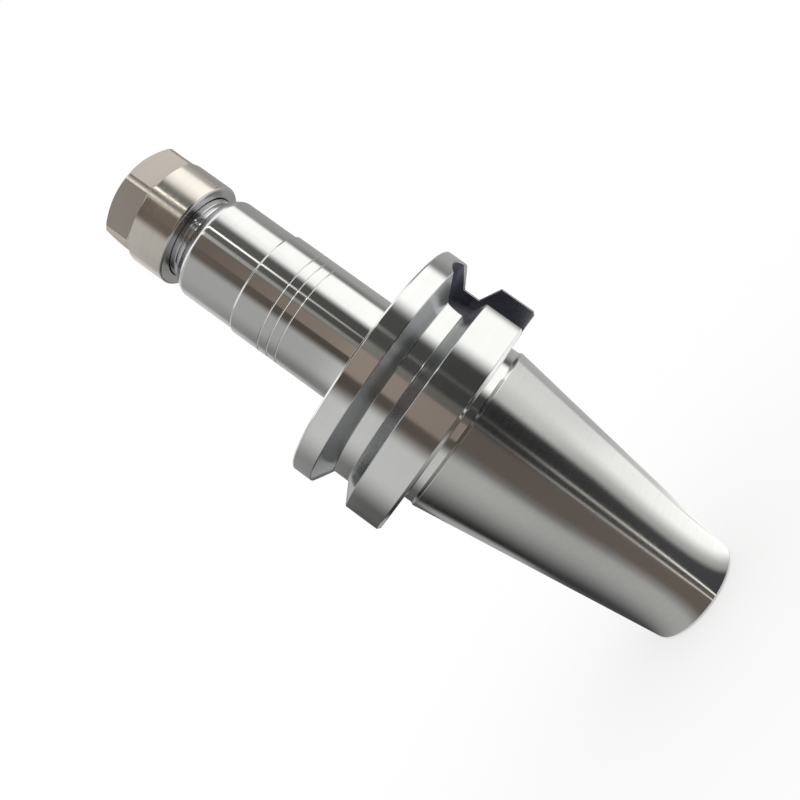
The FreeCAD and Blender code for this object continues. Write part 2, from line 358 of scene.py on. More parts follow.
TABLE_STOPS = (165, 80, 23)
TABLE_LEAN = (100, 20)
TABLE_CARDS = [
    (-190, 190, 1, 1, 0, CLOTH, (0.018, 0.035, 0.060)),
    (150, 190, 30, 4, 0, PLAIN, (0.42, 0.085, 0.08)),
    (118, 168, 8, 22, 0, PLAIN, (0.53, 0.70, 1.30)),
    (-190, -130, 1, 16, 0, PLAIN, (0.42, 0.085, 0.08)),
    (-27, 7, 6, 4, 4, BROWN, (0.108, 0.116, 0.128)),
    (-86, -31, 72, 23, 9, PLAIN, (0.53, 0.47, 0.49)),
    (47.5, 123, 11, 10, -7, PLAIN, (0.68, 0.47, 0.45)),
    (67, 123, 34, 8, -7, PLAIN, (0.95, 1.25, 1.42)),
]
ROOF_EDGE = (560, 700)
ROOF_HOLE = (185, 240)
ROOF_LEVELS = (0.06, 1.3)

# %% [markdown]
# The narrow lamps lean a little, so their lines drift round the steel from the flange to
# the nut. On the table they are straight tubes that pass beside the foot of the taper, so
# their heading grows with the distance from it. The roof is one white sheet, which puts
# the bright lines on the step and the rings. It has a dark hole in the middle, where the
# chamfer of the shoulder and the neck under the nut look, so they stay dark.

# %% Describe the narrow lamps
LAMP_OFFSET = 7.3
WALL_LAMPS = [
    # heading at the low end, lean to the high end, half width, tint, levels
    (24.6, 3.4, 1.6, CREAM, (0.10, 0.20, 0.52, 2.10, 3.00)),
    (7.4, 3.4, 3.8, CREAM, (0.14, 0.24, 0.32, 0.46, 1.20)),
]
TABLE_LAMPS = [
    (10.7, 0, 1.5, CREAM, (0.14, 0.48, 0.80)),
    (22.9, 0.8, 1.6, CREAM, (0.08, 0.58, 1.30)),
]


def tent_outline():
    floor = FLOOR_HEIGHT / MM
    return [
        (TENT_FOOT, floor + TENT_LIFT),
        (TENT_RADIUS, floor + TABLE_RISE),
        (TENT_RADIUS, TENT_HEIGHT - TENT_RADIUS / 2),
        (ROOF_RADIUS, TENT_HEIGHT),
        (ROOF_TIP, TENT_HEIGHT + ROOF_RISE),
    ]


def lit(tree, tint, levels, parts):
    """A tint whose level goes from one stop to the next."""
    level = levels[0]
    for part, here, there in zip(parts, levels, levels[1:]):
        level = calc(tree, "MULTIPLY_ADD", part, there - here, level)
    colour = node(tree, "ShaderNodeVectorMath", operation="SCALE", Scale=level)
    colour.inputs[0].default_value = tint
    return colour.outputs[0]


def laid_over(tree, under, over, mask):
    """One colour in front of another, as far as the mask goes from 0 to 1."""
    mix = node(tree, "ShaderNodeMix", data_type="RGBA")
    wire(tree, mask, mix.inputs[0])
    wire(tree, under, mix.inputs[6])
    wire(tree, over, mix.inputs[7])
    return mix.outputs[2]


def axis_distance(tree, split):
    """How far a place is from the axis, from a Separate XYZ node."""
    squares = calc(tree, "MULTIPLY", split.outputs["X"], split.outputs["X"])
    squares = calc(tree, "MULTIPLY_ADD", split.outputs["Y"], split.outputs["Y"], squares)
    return calc(tree, "SQRT", squares)


def card_colour(tree, heading, lamp_heading, cards, lamps, parts, leaning):
    """Lay every card over the ones before it, and the lamps over all of them."""
    colour = (0, 0, 0, 1)
    for start, end, start_edge, end_edge, lean, tint, levels in cards:
        upright = calc(tree, "MULTIPLY_ADD", leaning, -lean, heading)
        opens = ranged(tree, upright, start - start_edge / 2, start + start_edge / 2)
        closes = ranged(tree, upright, end - end_edge / 2, end + end_edge / 2, 1, 0)
        mask = calc(tree, "MULTIPLY", opens, closes)
        colour = laid_over(tree, colour, lit(tree, tint, levels, parts), mask)
    for place, lean, half_width, tint, levels in lamps:
        middle = calc(tree, "MULTIPLY_ADD", leaning, lean, place)
        apart = calc(tree, "ABSOLUTE", calc(tree, "SUBTRACT", lamp_heading, middle))
        mask = ranged(tree, apart, half_width * 0.5, half_width * 1.5, 1, 0)
        colour = laid_over(tree, colour, lit(tree, tint, levels, parts), mask)
    return colour


def between(tree, place, stops):
    """How far a place is from each stop to the next, as parts from 0 to 1."""
    parts = []
    for here, there in zip(stops, stops[1:]):
        low, high = sorted((here, there))
        ends = (0, 1) if there > here else (1, 0)
        parts.append(ranged(tree, place, low * MM, high * MM, *ends))
    return parts


def tent_paint():
    paint = bpy.data.materials.new("tent_cards")
    tree = empty_tree(paint)
    paint.cycles.emission_sampling = "NONE"
    place = tree.nodes.new("ShaderNodeTexCoord").outputs["Object"]
    axis_turn = node(tree, "ShaderNodeMapping", vector_type="POINT", Vector=place)
    axis_turn.inputs["Rotation"].default_value[2] = -math.radians(CAMERA_BEARING)
    split = node(tree, "ShaderNodeSeparateXYZ", Vector=axis_turn.outputs["Vector"])
    turn = calc(tree, "ARCTAN2", split.outputs["Y"], split.outputs["X"])
    heading = calc(tree, "DEGREES", turn)
    height = split.outputs["Z"]
    radius = axis_distance(tree, split)
    up = between(tree, height, WALL_LEAN)[0]
    near = between(tree, radius, TABLE_LEAN)[0]
    wall_parts = between(tree, height, WALL_STOPS)
    table_parts = between(tree, radius, TABLE_STOPS)
    beside = calc(tree, "SUBTRACT", 1, calc(tree, "DIVIDE", LAMP_OFFSET * MM, radius))
    lamp_heading = calc(tree, "DIVIDE", heading, beside)
    wall = card_colour(tree, heading, lamp_heading, WALL_CARDS, WALL_LAMPS, wall_parts, up)
    table = card_colour(
        tree, heading, lamp_heading, TABLE_CARDS, TABLE_LAMPS, table_parts, near,
    )
    table_edge = FLOOR_HEIGHT + TABLE_RISE * MM
    on_table = ranged(tree, height, table_edge - MM, table_edge + 2 * MM, 1, 0)
    colour = laid_over(tree, wall, table, on_table)
    on_roof = between(tree, height, ROOF_EDGE)[0]
    roof = lit(tree, PLAIN, ROOF_LEVELS, between(tree, radius, ROOF_HOLE))
    colour = laid_over(tree, colour, roof, on_roof)
    show(tree, node(tree, "ShaderNodeEmission", Color=colour, Strength=1.0))
    return paint


def light_tent():
    """The drum of cards, which nothing but a shiny surface sees."""
    tent = turned_piece("light_tent", tent_outline(), TENT_STEPS, closed=False)
    tent.data.materials.append(tent_paint())
    for ray in ("camera", "diffuse", "shadow", "transmission", "volume_scatter"):
        setattr(tent, "visible_" + ray, False)


light_tent()
print("tent with", len(WALL_CARDS) + len(TABLE_CARDS), "cards")

# %% [markdown]
# ## The holder's blank
#
# The holder is one bar of steel, turned all over. Its outline runs up the taper, round the
# flange with its V groove, along the slim body with three fine rings and a small step, and
# up to the threaded nose, and then comes back down through the stepped hole. Loose rings
# stacked on each other could give the same look, but one closed outline is what the bar
# really is, and it leaves no seams to hide.

# %% Outline the shank and the flange
GAUGE_RADIUS = 22.225
TAPER_RATIO = 7 / 24
TAPER_END = -0.9
SMALL_END = FLOOR_HEIGHT / MM
NECK_RADIUS = 21.7
FLANK_SLOPE = math.tan(math.radians(30))
FLANGE_RADIUS = 31.5
FLANGE_REAR = 2.0
FLANGE_FRONT = 27.0
REAR_CHAMFER = 0.7
FRONT_CHAMFER = 0.45
GROOVE_MIDDLE = 16.6
GROOVE_HALF_WIDTH = 5.0
GROOVE_DEPTH = 5.0


def taper_radius(height):
    return GAUGE_RADIUS + height * TAPER_RATIO / 2


def shank_points():
    return [
        (taper_radius(SMALL_END), SMALL_END, 0.9),
        (taper_radius(TAPER_END), TAPER_END, 0.15),
        (NECK_RADIUS, TAPER_END + 0.7, 0.2),
        (NECK_RADIUS, FLANGE_REAR, 0.35),
    ]


def flange_points():
    floor_half = GROOVE_HALF_WIDTH - GROOVE_DEPTH * FLANK_SLOPE
    bottom = FLANGE_RADIUS - GROOVE_DEPTH
    return [
        (FLANGE_RADIUS - REAR_CHAMFER, FLANGE_REAR, 0.1),
        (FLANGE_RADIUS, FLANGE_REAR + REAR_CHAMFER, 0.1),
        (FLANGE_RADIUS, GROOVE_MIDDLE - GROOVE_HALF_WIDTH, 0.2),
        (bottom, GROOVE_MIDDLE - floor_half, 0.25),
        (bottom, GROOVE_MIDDLE + floor_half, 0.25),
        (FLANGE_RADIUS, GROOVE_MIDDLE + GROOVE_HALF_WIDTH, 0.2),
        (FLANGE_RADIUS, FLANGE_FRONT - FRONT_CHAMFER, 0.1),
        (FLANGE_RADIUS - FRONT_CHAMFER, FLANGE_FRONT, 0.1),
    ]


print("taper from", round(taper_radius(SMALL_END), 2), "to", GAUGE_RADIUS, "mm radius")

# %% Outline the body and the nose
BODY_RADIUS = 14.0
RING_HEIGHTS = (45.6, 48.2, 50.8)
# height from the ring's middle, depth, rounding
RING_OUTLINE = ((-0.26, 0, 0.03), (-0.03, 0.12), (0.02, 0.12), (0.10, 0, 0.02))
STEP_HEIGHT = 58.4
STEP_DEPTH = 0.45
SHOULDER = 76.0
CHAMFER_LENGTH = 2.0
CHAMFER_DEPTH = 1.2
NOSE_RADIUS = 11.0
NOSE_ROOT = 10.08
NOSE_FACE = 90.0
NOSE_CHAMFER = 0.8
RELIEF_DEPTH = 0.8
RELIEF_LENGTH = 1.5
THREAD_START = 80.3


def body_points():
    front = BODY_RADIUS - STEP_DEPTH
    points = [(BODY_RADIUS, FLANGE_FRONT, 0.8)]
    for ring in RING_HEIGHTS:
        for up, depth, *rounding in RING_OUTLINE:
            points.append((BODY_RADIUS - depth, ring + up, *rounding))
    return points + [
        (BODY_RADIUS, STEP_HEIGHT + 0.2, 0.08),
        (front, STEP_HEIGHT + 0.65, 0.08),
        (front, SHOULDER - CHAMFER_LENGTH, 0.5),
        (front - CHAMFER_DEPTH, SHOULDER, 0.15),
    ]


def nose_points():
    relief = NOSE_RADIUS - RELIEF_DEPTH
    return [
        (relief, SHOULDER, 0.7),
        (relief, SHOULDER + RELIEF_LENGTH, 0.2),
        (NOSE_RADIUS, SHOULDER + RELIEF_LENGTH + 0.4, 0.1),
        (NOSE_RADIUS, THREAD_START, 0.1),
        (NOSE_ROOT, THREAD_START),
        (NOSE_ROOT, NOSE_FACE - NOSE_CHAMFER, 0.1),
        (NOSE_ROOT - NOSE_CHAMFER, NOSE_FACE, 0.1),
    ]


print("nose from", SHOULDER, "to", NOSE_FACE, "mm, thread from", THREAD_START, "mm")

# %% Outline the hole and turn the holder
SEAT_RADIUS = 8.0
SEAT_END = 70.432
BORE_RADIUS = 5.25
BORE_END = 30.0
COOLANT_RADIUS = 4.0
KNOB_RADIUS = 6.9175
KNOB_START = -35.4
KNOB_END = -55.45
PILOT_RADIUS = 8.5
PILOT_START = -56.4
PILOT_CHAMFER = 0.6


def hole_points():
    """The collet seat, bore, coolant hole, knob hole and pilot, from the nose down."""
    return [
        (SEAT_RADIUS, NOSE_FACE, 0.15),
        (BORE_RADIUS, SEAT_END),
        (BORE_RADIUS, BORE_END),
        (COOLANT_RADIUS, BORE_END - 0.75),
        (COOLANT_RADIUS, KNOB_START + 1.75),
        (KNOB_RADIUS, KNOB_START),
        (KNOB_RADIUS, KNOB_END),
        (PILOT_RADIUS, PILOT_START),
        (PILOT_RADIUS, SMALL_END + PILOT_CHAMFER, 0.1),
        (PILOT_RADIUS + PILOT_CHAMFER, SMALL_END, 0.1),
    ]


holder = turned_piece(
    "holder_steel",
    shank_points() + flange_points() + body_points() + nose_points() + hole_points(),
)

# %% [markdown]
# ## The drive slots
#
# Two slots across the flange take the drive keys of the spindle. An end mill makes them, so
# they are open at the rear face and round at the front end. The cutter here is the space
# that the mill sweeps: a bar joined to a cylinder. A boolean modifier cuts it from the
# blank. The rim of a slot is then deburred, as a fitter does it with a round file: a thin
# rod follows the rim and a second boolean takes its groove out of the edge. A bevel of the
# rim would be simpler, but the rim crosses the turned facets and a bevel tears there.

# %% Mill the drive slots
SLOT_HALF_WIDTH = 8.05
SLOT_FLOOR = 22.6
SLOT_CENTRE = 15.2
SLOT_STEPS = 96


def slot_cutter(side):
    """The space that the end mill sweeps, on the +X or the -X side."""
    leave_edit()
    depth = FLANGE_RADIUS
    middle = side * (SLOT_FLOOR + depth / 2)
    bpy.ops.mesh.primitive_cylinder_add(
        vertices=SLOT_STEPS,
        radius=SLOT_HALF_WIDTH * MM,
        depth=depth * MM,
        location=(middle * MM, 0, SLOT_CENTRE * MM),
        rotation=(0, math.radians(90), 0),
    )
    cutter = bpy.context.object
    bpy.ops.object.transform_apply(location=True, rotation=True)
    bpy.ops.object.mode_set(mode="EDIT")
    pick_points(cutter, lambda co: co.z < SLOT_CENTRE * MM - MERGE_DISTANCE)
    bpy.ops.transform.translate(value=(0, 0, -SLOT_CENTRE * MM))
    leave_edit()
    return cutter


def cut_away(piece, tool, operation="DIFFERENCE"):
    """Cut a tool's space from a piece, or keep what both share, and remove the tool."""
    work_on(piece)
    cut = piece.modifiers.new("cut", "BOOLEAN")
    cut.operation = operation
    cut.solver = "EXACT"
    cut.object = tool
    bpy.ops.object.modifier_apply(modifier="cut")
    bpy.data.objects.remove(tool)


print("slots", 2 * SLOT_HALF_WIDTH, "mm wide, floors at", SLOT_FLOOR, "mm from the axis")

# %% Deburr the rims of the slots
SLOT_EDGE = 0.28
RIM_TURN = 4.5


def flange_reach(height):
    """The flange's radius at a height, along its outline without the small roundings."""
    corners = [(point[1], point[0]) for point in flange_points()]
    for (low, start), (high, end) in zip(corners, corners[1:]):
        if low <= height <= high:
            return start + (end - start) * (height - low) / (high - low)
    return corners[0][1]


def rim_path():
    """Where a slot's walls meet the outside of the flange, from end to end."""
    corners = [point[1] for point in flange_points()]
    rises = [(corner - SLOT_CENTRE) / SLOT_HALF_WIDTH for corner in corners]
    turns = [math.asin(rise) for rise in rises if 0 < rise < 1]
    turns += [math.radians(RIM_TURN * i) for i in range(1, 21)]
    flat = [(SLOT_HALF_WIDTH, corner) for corner in corners if corner < SLOT_CENTRE]
    flat.append((SLOT_HALF_WIDTH, SLOT_CENTRE))
    arc = [
        (SLOT_HALF_WIDTH * math.cos(turn), SLOT_CENTRE + SLOT_HALF_WIDTH * math.sin(turn))
        for turn in sorted(turns)
    ]
    half = [(math.sqrt(flange_reach(z) ** 2 - y * y), y, z) for y, z in flat + arc]
    half.insert(0, (SLOT_FLOOR - 0.5, SLOT_HALF_WIDTH, FLANGE_REAR))
    return half + [(x, -y, z) for x, y, z in reversed(half[:-1])]


def rim_cutter(side):
    """A thin round rod along the rim of a slot, which leaves the deburred edge."""
    data = bpy.data.curves.new("rim_cutter", "CURVE")
    data.dimensions = "3D"
    data.bevel_depth = SLOT_EDGE * MM
    data.bevel_resolution = 2
    data.use_fill_caps = True
    path = rim_path()
    line = data.splines.new("POLY")
    line.points.add(len(path) - 1)
    for point, (x, y, z) in zip(line.points, path):
        point.co = (side * x * MM, side * y * MM, z * MM, 1)
    rod = bpy.data.objects.new("rim_cutter", data)
    bpy.context.scene.collection.objects.link(rod)
    work_on(rod)
    bpy.ops.object.convert(target="MESH")
    return bpy.context.object


for side in (1, -1):
    cut_away(holder, slot_cutter(side))
    cut_away(holder, rim_cutter(side))
print("holder after milling:", len(holder.data.polygons), "faces")

# %% [markdown]
# ## The nose thread
#
# The nut runs on a fine right-hand thread on the nose. In the CAD model it is a plain
# cylinder at the root of the thread, so the ridge is added here. Rings in a row would look
# much the same from afar, but they would jam, so the ridge is a true helix: a small outline
# of one ridge, swept by a screw modifier that climbs one pitch a turn. A boolean with the
# chamfered nose then trims its start and end, as the lathe tool does.

# %% Cut the nose thread
THREAD_PITCH = 1.5
THREAD_STEPS = 96
NOSE_CREST_WIDTH = 0.19
NOSE_RIDGE_START = 79.55
NOSE_RIDGE_TURNS = 8
RIDGE_SINK = 0.08
RIDGE_PLAY = 0.01
BLANK_DEPTH = 0.5
BLANK_PLAY = 0.2


def thread_ridge(name, root, crest, crest_width, start, turns):
    """A helical ridge between two radii, wider at its root by a 60 degree flank angle."""
    tip = crest_width / 2
    foot = tip + abs(crest - root) * FLANK_SLOPE
    ridge = draw_outline(name, [
        (root, start - foot),
        (crest, start - tip),
        (crest, start + tip),
        (root, start + foot),
    ])
    work_on(ridge)
    sweep = ridge.modifiers.new("helix", "SCREW")
    sweep.screw_offset = THREAD_PITCH * MM
    sweep.iterations = turns
    sweep.steps = sweep.render_steps = THREAD_STEPS
    bpy.ops.object.modifier_apply(modifier="helix")
    bpy.ops.object.mode_set(mode="EDIT")
    bpy.ops.mesh.select_all(action="SELECT")
    bpy.ops.mesh.fill_holes(sides=4)
    close_up()
    leave_edit()
    print(name, "swept:", len(ridge.data.polygons), "faces")
    return ridge


def join_to(piece, other):
    """Make two meshes one piece."""
    work_on(piece)
    other.select_set(True)
    bpy.ops.object.join()
    leave_edit()


nose_ridge = thread_ridge(
    "nose_thread", NOSE_ROOT - RIDGE_SINK, NOSE_RADIUS - RIDGE_PLAY,
    NOSE_CREST_WIDTH, NOSE_RIDGE_START, NOSE_RIDGE_TURNS,
)
nose_blank = turned_piece("nose_blank", [
    (NOSE_ROOT - BLANK_DEPTH, THREAD_START - 0.4),
    (NOSE_RADIUS + BLANK_PLAY, THREAD_START - 0.4),
    (NOSE_RADIUS + BLANK_PLAY, NOSE_FACE - 1.0 - BLANK_PLAY),
    (NOSE_ROOT - BLANK_DEPTH, NOSE_FACE - 0.3),
], THREAD_STEPS)
cut_away(nose_ridge, nose_blank, "INTERSECT")
join_to(holder, nose_ridge)

# %% [markdown]
# ## The clamping nut
#
# The nut is turned as a plain collar first and then gets six wrench flats. Each flat is
# milled with a block whose lower edge is rounded, so the flat runs out in a small cove at
# the collar. A hexagonal ring could cut all six flats at once, but a block that is turned
# to each place keeps the cove simple and the same everywhere. Inside, the nut has its own
# helix, half a pitch from the one on the nose, and a ring that is a little off centre.
# That ring sits in the collet's groove, so it pulls the collet out when the nut is
# unscrewed.

# %% Turn the nut
NUT_RADIUS = 14.0
NUT_REAR = 79.3
NUT_FRONT = 96.8
NUT_MOUTH = 11.25
NUT_THREAD_REAR = 80.9
NUT_ROOT = 11.1
NUT_CREST = 10.16
RING_REAR = 90.5
RING_TOP = 92.1
RING_BORE = 7.4
RING_OFFSET = 0.45
CONE_START = 92.6
CONE_RADIUS = 8.54
CONE_SLOPE = math.tan(math.radians(30))
NUT_EDGE = 0.45
HEX_CHAMFER = (1.7, 0.98)
OPENING_CHAMFER = 0.4


def nut_points():
    opening = CONE_RADIUS - (NUT_FRONT - CONE_START) * CONE_SLOPE
    return [
        (NUT_MOUTH, NUT_REAR, 0.1),
        (NUT_RADIUS - NUT_EDGE, NUT_REAR, 0.25),
        (NUT_RADIUS, NUT_REAR + NUT_EDGE, 0.25),
        (NUT_RADIUS, NUT_FRONT - HEX_CHAMFER[1], 0.2),
        (NUT_RADIUS - HEX_CHAMFER[0], NUT_FRONT, 0.2),
        (opening + OPENING_CHAMFER, NUT_FRONT, 0.1),
        (opening + OPENING_CHAMFER * CONE_SLOPE, NUT_FRONT - OPENING_CHAMFER, 0.1),
        (CONE_RADIUS, CONE_START),
        (CONE_RADIUS, RING_TOP),
        (RING_BORE - RING_OFFSET, RING_TOP),
        (RING_BORE - RING_OFFSET, RING_REAR),
        (NUT_ROOT, RING_REAR),
        (NUT_ROOT, NUT_THREAD_REAR + 0.3),
        (NUT_MOUTH, NUT_THREAD_REAR),
    ]


nut = turned_piece("nut_nickelled", nut_points())

# %% Bore the off-centre ring and mill the flats
FLAT_RADIUS = 12.5
FLAT_END = 89.0
FLAT_COVE = 0.8
COVE_STEPS = 8
FIRST_CORNER = 3.1
BLOCK_SIZE = 20
RING_STEPS = 192


def ring_cutter():
    leave_edit()
    bpy.ops.mesh.primitive_cylinder_add(
        vertices=RING_STEPS,
        radius=RING_BORE * MM,
        depth=(RING_TOP - RING_REAR + 0.2) * MM,
        location=(RING_OFFSET * MM, 0, (RING_TOP + RING_REAR) / 2 * MM),
    )
    bpy.ops.object.transform_apply(location=True)
    return bpy.context.object


def turn_round_axis(turn):
    """Turn what is selected about Z, by degrees counterclockwise seen from the nut."""
    bpy.ops.transform.rotate(
        value=-math.radians(turn), orient_axis="Z", center_override=(0, 0, 0),
    )


def flat_cutter(turn):
    """A block outside one wrench flat, with its lower inner edge rounded."""
    leave_edit()
    half = BLOCK_SIZE / 2
    middle = ((FLAT_RADIUS + half) * MM, 0, (FLAT_END + half) * MM)
    bpy.ops.mesh.primitive_cube_add(size=BLOCK_SIZE * MM, location=middle)
    cutter = bpy.context.object
    bpy.ops.object.transform_apply(location=True)
    bpy.ops.object.mode_set(mode="EDIT")
    inside = (FLAT_RADIUS + 1) * MM
    low = (FLAT_END + 1) * MM
    pick_points(cutter, lambda co: co.x < inside and co.z < low)
    bpy.ops.mesh.bevel(offset=FLAT_COVE * MM, segments=COVE_STEPS, affect="EDGES")
    bpy.ops.mesh.select_all(action="SELECT")
    turn_round_axis(turn)
    leave_edit()
    return cutter


cut_away(nut, ring_cutter())
for i in range(6):
    cut_away(nut, flat_cutter(FIRST_CORNER + 30 + 60 * i))
print("nut with flats:", len(nut.data.polygons), "faces")

# %% Cut the thread in the nut
NUT_RIDGE_SINK = 0.05
NUT_CREST_WIDTH = 0.18
NUT_RIDGE_START = NOSE_RIDGE_START + THREAD_PITCH * 1.5
NUT_RIDGE_TURNS = 5

nut_ridge = thread_ridge(
    "nut_thread_ridge", NUT_ROOT + NUT_RIDGE_SINK, NUT_CREST,
    NUT_CREST_WIDTH, NUT_RIDGE_START, NUT_RIDGE_TURNS,
)
join_to(nut, nut_ridge)
print("nut with flats and thread:", len(nut.data.polygons), "faces")

# %% [markdown]
# ## The spring collet
#
# The collet is a steep cone at the front, a groove for the ring of the nut, and a long slim
# cone that seats in the nose. Saw cuts from both ends, half a step apart, let it close round
# the tool shank. It is turned as one ring, and a thin saw blade is then cut out of it in
# every place, from the front and from the rear by turns.

# %% Turn the collet
COLLET_FRONT = 96.3
COLLET_REAR = 68.8
COLLET_BORE = 3.0
COLLET_HEAD = 8.5
HEAD_REAR = 92.3
GROOVE_REAR = 90.1
GROOVE_RADIUS = 6.9
COLLET_EDGE = 0.3
COLLET_STEPS = 192
RELIEF_REACH = 0.6
RELIEF_END = 75.7
SEAT_SLOPE = math.tan(math.radians(8))
SEAT_FIT = 0.04


def seat_radius(height):
    return SEAT_RADIUS - (NOSE_FACE - height) * SEAT_SLOPE - SEAT_FIT


def collet_points():
    rear = seat_radius(COLLET_REAR)
    tip = COLLET_HEAD - (COLLET_FRONT - HEAD_REAR - COLLET_EDGE) * CONE_SLOPE
    return [
        (COLLET_BORE + RELIEF_REACH, COLLET_REAR, 0.1),
        (rear - COLLET_EDGE, COLLET_REAR, 0.1),
        (rear, COLLET_REAR + COLLET_EDGE, 0.1),
        (seat_radius(GROOVE_REAR), GROOVE_REAR, 0.15),
        (GROOVE_RADIUS, GROOVE_REAR, 0.15),
        (GROOVE_RADIUS, HEAD_REAR, 0.15),
        (COLLET_HEAD, HEAD_REAR, 0.1),
        (COLLET_HEAD, HEAD_REAR + COLLET_EDGE, 0.1),
        (tip, COLLET_FRONT, 0.1),
        (COLLET_BORE + COLLET_EDGE, COLLET_FRONT, 0.1),
        (COLLET_BORE, COLLET_FRONT - COLLET_EDGE, 0.1),
        (COLLET_BORE, RELIEF_END + RELIEF_REACH),
        (COLLET_BORE + RELIEF_REACH, RELIEF_END),
    ]


collet = turned_piece("collet_spring_steel", collet_points(), COLLET_STEPS)

# %% Saw the collet from both ends
SAW_WIDTH = 0.6
SAW_COUNT = 8
SAW_START = 1
FRONT_CUT_END = 73.3
REAR_CUT_END = 89.9


def saw_blade(turn, low, high):
    """A thin blade that reaches from inside the bore to past the head."""
    leave_edit()
    reach = COLLET_HEAD + 1
    middle = ((SAW_START + reach) / 2 * MM, 0, (low + high) / 2 * MM)
    bpy.ops.mesh.primitive_cube_add(size=MM, location=middle)
    bpy.ops.transform.resize(value=(reach - SAW_START, SAW_WIDTH, high - low))
    bpy.ops.object.transform_apply(location=True, scale=True)
    turn_round_axis(turn)
    bpy.ops.object.transform_apply(location=True, rotation=True)
    return bpy.context.object


saw_step = 360 / SAW_COUNT
for i in range(SAW_COUNT):
    cut_away(collet, saw_blade(i * saw_step, FRONT_CUT_END, COLLET_FRONT + 1))
    cut_away(collet, saw_blade((i + 0.5) * saw_step, COLLET_REAR - 1, REAR_CUT_END))
print("collet slotted:", len(collet.data.polygons), "faces")

# %% [markdown]
# ## Shader groups for worked steel
#
# Every finish here comes from the same few traces of work, so each trace is one node
# group that is built once. A cutting tool leaves fine lines a feed apart. They run along
# rings on turned steel and along arcs on milled steel, so the group takes the distance
# across them. Grinding leaves short scratches round the taper, and hands leave faint
# smudges. The groups only give masks and heights, and each material decides what to do
# with them.

# %% Helpers for groups
def new_group(name, inputs, outputs):
    """An empty node group with value or vector inputs and value outputs."""
    group = bpy.data.node_groups.new(name, "ShaderNodeTree")
    for label, kind in inputs:
        group.interface.new_socket(label, in_out="INPUT", socket_type=kind)
    for label in outputs:
        group.interface.new_socket(label, in_out="OUTPUT", socket_type="NodeSocketFloat")
    start = group.nodes.new("NodeGroupInput")
    end = group.nodes.new("NodeGroupOutput")
    return group, start.outputs, end.inputs


def noise(tree, place, scale, detail=2.0, dimensions="3D"):
    """The plain value of a noise texture in object space, or along one number."""
    made = node(tree, "ShaderNodeTexNoise", noise_dimensions=dimensions)
    made.inputs["Scale"].default_value = scale
    made.inputs["Detail"].default_value = detail
    wire(tree, place, made.inputs["W" if dimensions == "1D" else "Vector"])
    return made.outputs["Fac"]


# %% Groups for tool lines, grinding and smudges
PLACE_INPUT = ("Place", "NodeSocketVector")
WANDER_SCALE = 160
WAVE_PART = 0.2
BAND_SCALE = 0.07
SCRATCH_SCALES = (350, 350, 9000)
SPECKLE_SCALE = 2600
BROAD_SMUDGES = 45
FINE_SMUDGES = 210


def tool_line_group():
    """Lines one pitch apart across a distance, a little uneven and a little wandering."""
    numbers = [("Across", "NodeSocketFloat"), ("Pitch", "NodeSocketFloat")]
    group, given, gives = new_group(
        "tool_lines", [PLACE_INPUT, *numbers], ["Lines", "Bands"],
    )
    wander = noise(group, given["Place"], WANDER_SCALE)
    drift = calc(group, "MULTIPLY", wander, given["Pitch"])
    across = calc(group, "ADD", given["Across"], drift)
    count = calc(group, "DIVIDE", across, given["Pitch"])
    uneven = noise(group, count, 1.0, 1.0, "1D")
    wave = calc(group, "SINE", calc(group, "MULTIPLY", count, math.tau))
    lines = calc(group, "MULTIPLY_ADD", wave, WAVE_PART, uneven)
    wire(group, lines, gives["Lines"])
    slow = noise(group, count, BAND_SCALE, 2.0, "1D")
    wire(group, ranged(group, slow, 0.3, 0.7), gives["Bands"])
    return group


def grinding_group():
    """Short scratches that run round the axis, because they change fast along it."""
    group, given, gives = new_group("grinding", [PLACE_INPUT], ["Scratches", "Speckle"])
    stretch = node(group, "ShaderNodeMapping", vector_type="POINT", Vector=given["Place"])
    stretch.inputs["Scale"].default_value = SCRATCH_SCALES
    wire(group, noise(group, stretch.outputs["Vector"], 1.0, 3.0), gives["Scratches"])
    grain = noise(group, given["Place"], SPECKLE_SCALE, 1.0)
    wire(group, ranged(group, grain, 0.35, 0.65), gives["Speckle"])
    return group


def smudge_group():
    """Faint patches where oil and hands have dulled the polish."""
    group, given, gives = new_group("smudges", [PLACE_INPUT], ["Patches"])
    broad = noise(group, given["Place"], BROAD_SMUDGES, 3.0)
    fine = noise(group, given["Place"], FINE_SMUDGES, 2.0)
    both = calc(group, "MULTIPLY_ADD", fine, 0.35, broad)
    wire(group, ranged(group, both, 0.5, 0.85), gives["Patches"])
    return group


TOOL_LINES = tool_line_group()
GRINDING = grinding_group()
SMUDGES = smudge_group()
print("groups:", [group.name for group in bpy.data.node_groups])

# %% [markdown]
# ## Steel finishes
#
# One function turns a colour, a roughness and a tool trace into a material, so that all
# the finishes behave alike. The lines are real height, and they also change the gloss a
# little from band to band. Anisotropy spreads a highlight across the lines and keeps it
# crisp along them, as on real turned steel. The tangent runs round the axis, and a quarter
# turn of it points the spread along the axis.

# %% Distances across the tool lines
def use_group(tree, group, **values):
    """Place a group in a tree with its own values, and give its outputs."""
    made = tree.nodes.new("ShaderNodeGroup")
    made.node_tree = group
    for name, value in values.items():
        wire(tree, value, made.inputs[name])
    return made.outputs


def ring_distance(tree, place):
    """Distance across turned lines: along the axis on a cylinder, outward on a face."""
    split = node(tree, "ShaderNodeSeparateXYZ", Vector=place)
    return calc(tree, "ADD", split.outputs["Z"], axis_distance(tree, split))


def arc_distance(tree, place, centre_height):
    """Distance from a point on the axis, which draws arcs on a flat beside it."""
    moved = node(tree, "ShaderNodeVectorMath", operation="SUBTRACT")
    wire(tree, place, moved.inputs[0])
    moved.inputs[1].default_value = (0, 0, centre_height * MM)
    length = node(tree, "ShaderNodeVectorMath", operation="LENGTH")
    wire(tree, moved.outputs[0], length.inputs[0])
    return length.outputs["Value"]


